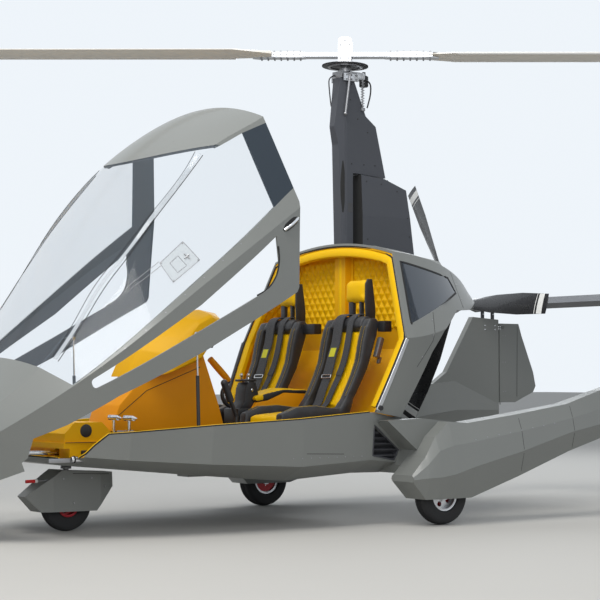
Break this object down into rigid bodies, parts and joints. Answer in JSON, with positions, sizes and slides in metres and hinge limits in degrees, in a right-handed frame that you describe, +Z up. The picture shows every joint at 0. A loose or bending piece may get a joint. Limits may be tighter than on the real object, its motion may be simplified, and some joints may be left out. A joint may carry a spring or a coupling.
{
  "type": "side-by-side two-seat gyroplane",
  "caption": "Side-by-side two-seat gyroplane with a forward-opening clear canopy, teetering rotor, pusher propeller, twin booms with fins, and a steerable nose wheel.",
  "frame": {"origin": "on the ground under the rotor hub and between the main wheels", "axes": "+X forward, +Y to port, +Z up"},
  "size_m": [6.6062, 5.858, 3.0415],
  "materials": {
    "body_paint": "satin grey paint on composite",
    "mast_paint": "satin dark grey paint",
    "canopy_clear": "clear",
    "window_tint": "dark tint",
    "yellow_trim": "matt yellow upholstery",
    "yellow_plastic": "satin yellow",
    "black_fabric": "woven black",
    "black_plastic": "matt black",
    "bare_alloy": "brushed",
    "steel": "brushed",
    "engine_metal": "cast, closed inside",
    "blade_paint": "satin beige grey on composite",
    "propeller_black": "gloss black",
    "tyre": "matt",
    "rim_silver": "satin",
    "rim_red": "red anodised"
  },
  "bodies": {
    "root": {"tub_shell": "body_paint", "cowl_shell": "body_paint", "rear_window_port": "window_tint", "rear_window_starboard": "window_tint", "cabin_liner": "yellow_trim", "rear_bulkhead": "yellow_trim", "engine_block": "engine_metal", "footbox": "yellow_plastic", "instrument_pod": "yellow_plastic", "pod_pedestal": "yellow_plastic", "centre_console": "black_plastic", "seat_port": "black_fabric", "seat_starboard": "black_fabric", "headrests": "yellow_trim", "armrest": "yellow_trim", "pedals": "bare_alloy", "control_sticks": "black_plastic", "mast_pylon": "mast_paint", "intake_fairing": "mast_paint", "rotor_mount": "bare_alloy", "boom_port": "body_paint", "boom_starboard": "body_paint", "fin_port": "body_paint", "fin_starboard": "body_paint", "tailplane": "body_paint", "stub_wing_port": "body_paint", "stub_wing_starboard": "body_paint", "main_axles": "steel", "nose_leg": "steel", "carriage_guides": "black_plastic"},
    "carriage": {"carriage_bars": "steel"},
    "canopy": {"nose_shell": "body_paint", "roof_panel": "body_paint", "rear_arch": "mast_paint", "windscreen": "canopy_clear", "side_frame_port": "body_paint", "side_frame_starboard": "body_paint", "side_glass_port": "canopy_clear", "side_glass_starboard": "canopy_clear", "canopy_brackets": "black_plastic"},
    "strut_tube_port": {"strut_tube_port": "black_plastic"},
    "strut_tube_starboard": {"strut_tube_starboard": "black_plastic"},
    "strut_rod_port": {"strut_rod_port": "steel"},
    "strut_rod_starboard": {"strut_rod_starboard": "steel"},
    "rotor_shaft": {"rotor_shaft": "bare_alloy"},
    "rotor": {"hub_bar": "bare_alloy", "rotor_blade_fore": "blade_paint", "rotor_blade_aft": "blade_paint"},
    "propeller": {"propeller_hub": "bare_alloy", "propeller_blades": "propeller_black"},
    "main_wheel_port": {"main_tyre_port": "tyre", "main_wheel_port": "rim_silver"},
    "main_wheel_starboard": {"main_tyre_starboard": "tyre", "main_wheel_starboard": "rim_silver"},
    "nose_steering": {"nose_fork": "bare_alloy", "nose_spat": "body_paint"},
    "nose_wheel": {"nose_tyre": "tyre", "nose_wheel": "rim_red"},
    "rudder_port": {"rudder_port": "body_paint"},
    "rudder_starboard": {"rudder_starboard": "body_paint"}
  },
  "joints": [
    {"name": "canopy_slide", "type": "slide", "parent": "root", "child": "carriage", "axis": [0.9998, 0, 0.0175], "range_m": [-0.28604, 0.001]},
    {"name": "canopy_tilt", "type": "hinge", "parent": "carriage", "child": "canopy", "pos_m": [2.485, 0, 0.46], "axis": [0, 1, 0], "range_deg": [-24.3, 0]},
    {"name": "strut_swing_port", "type": "hinge", "parent": "root", "child": "strut_tube_port", "pos_m": [1.56, 0.706, 0.578], "axis": [0, 1, 0], "range_deg": [-80.44, 0.5]},
    {"name": "strut_extend_port", "type": "slide", "parent": "strut_tube_port", "child": "strut_rod_port", "axis": [0.0273, 0, 0.9996], "range_m": [-0.06584, 0.001]},
    {"name": "strut_swing_starboard", "type": "hinge", "parent": "root", "child": "strut_tube_starboard", "pos_m": [1.56, -0.706, 0.578], "axis": [0, 1, 0], "range_deg": [-80.44, 0.5]},
    {"name": "strut_extend_starboard", "type": "slide", "parent": "strut_tube_starboard", "child": "strut_rod_starboard", "axis": [0.0273, 0, 0.9996], "range_m": [-0.06584, 0.001]},
    {"name": "rotor_spin", "type": "hinge", "parent": "root", "child": "rotor_shaft", "pos_m": [0, 0, 2.93], "axis": [-0.0262, 0, 0.9997], "continuous": true},
    {"name": "rotor_teeter", "type": "hinge", "parent": "rotor_shaft", "child": "rotor", "pos_m": [0, 0, 2.93], "axis": [0.6689, 0.7431, 0.0175], "range_deg": [-6, 6]},
    {"name": "propeller_spin", "type": "hinge", "parent": "root", "child": "propeller", "pos_m": [-0.9, 0, 1.36], "axis": [1, 0, 0], "continuous": true},
    {"name": "main_wheel_spin_port", "type": "hinge", "parent": "root", "child": "main_wheel_port", "pos_m": [0, 0.92, 0.175], "axis": [0, 1, 0], "continuous": true},
    {"name": "main_wheel_spin_starboard", "type": "hinge", "parent": "root", "child": "main_wheel_starboard", "pos_m": [0, -0.92, 0.175], "axis": [0, 1, 0], "continuous": true},
    {"name": "nose_steer", "type": "hinge", "parent": "root", "child": "nose_steering", "pos_m": [2, 0, 0.3], "axis": [0, 0, 1], "range_deg": [-35, 35]},
    {"name": "nose_wheel_spin", "type": "hinge", "parent": "nose_steering", "child": "nose_wheel", "pos_m": [2, 0, 0.15], "axis": [0, 1, 0], "continuous": true},
    {"name": "rudder_port", "type": "hinge", "parent": "root", "child": "rudder_port", "pos_m": [-2.174, 0.92, 1], "axis": [0, 0, 1], "range_deg": [-25, 25]},
    {"name": "rudder_starboard", "type": "hinge", "parent": "root", "child": "rudder_starboard", "pos_m": [-2.174, -0.92, 1], "axis": [0, 0, 1], "range_deg": [-25.5, 25.5]}
  ],
  "couplings": [
    {"joint": "canopy_slide", "follows": "canopy_tilt", "m_per_rad": 0.67209},
    {"joint": "strut_swing_port", "follows": "canopy_tilt", "ratio": 3.2897},
    {"joint": "strut_extend_port", "follows": "canopy_tilt", "m_per_rad": 0.15287},
    {"joint": "strut_swing_starboard", "follows": "canopy_tilt", "ratio": 3.2897},
    {"joint": "strut_extend_starboard", "follows": "canopy_tilt", "m_per_rad": 0.15287},
    {"joint": "rudder_starboard", "follows": "rudder_port", "ratio": 1}
  ]
}
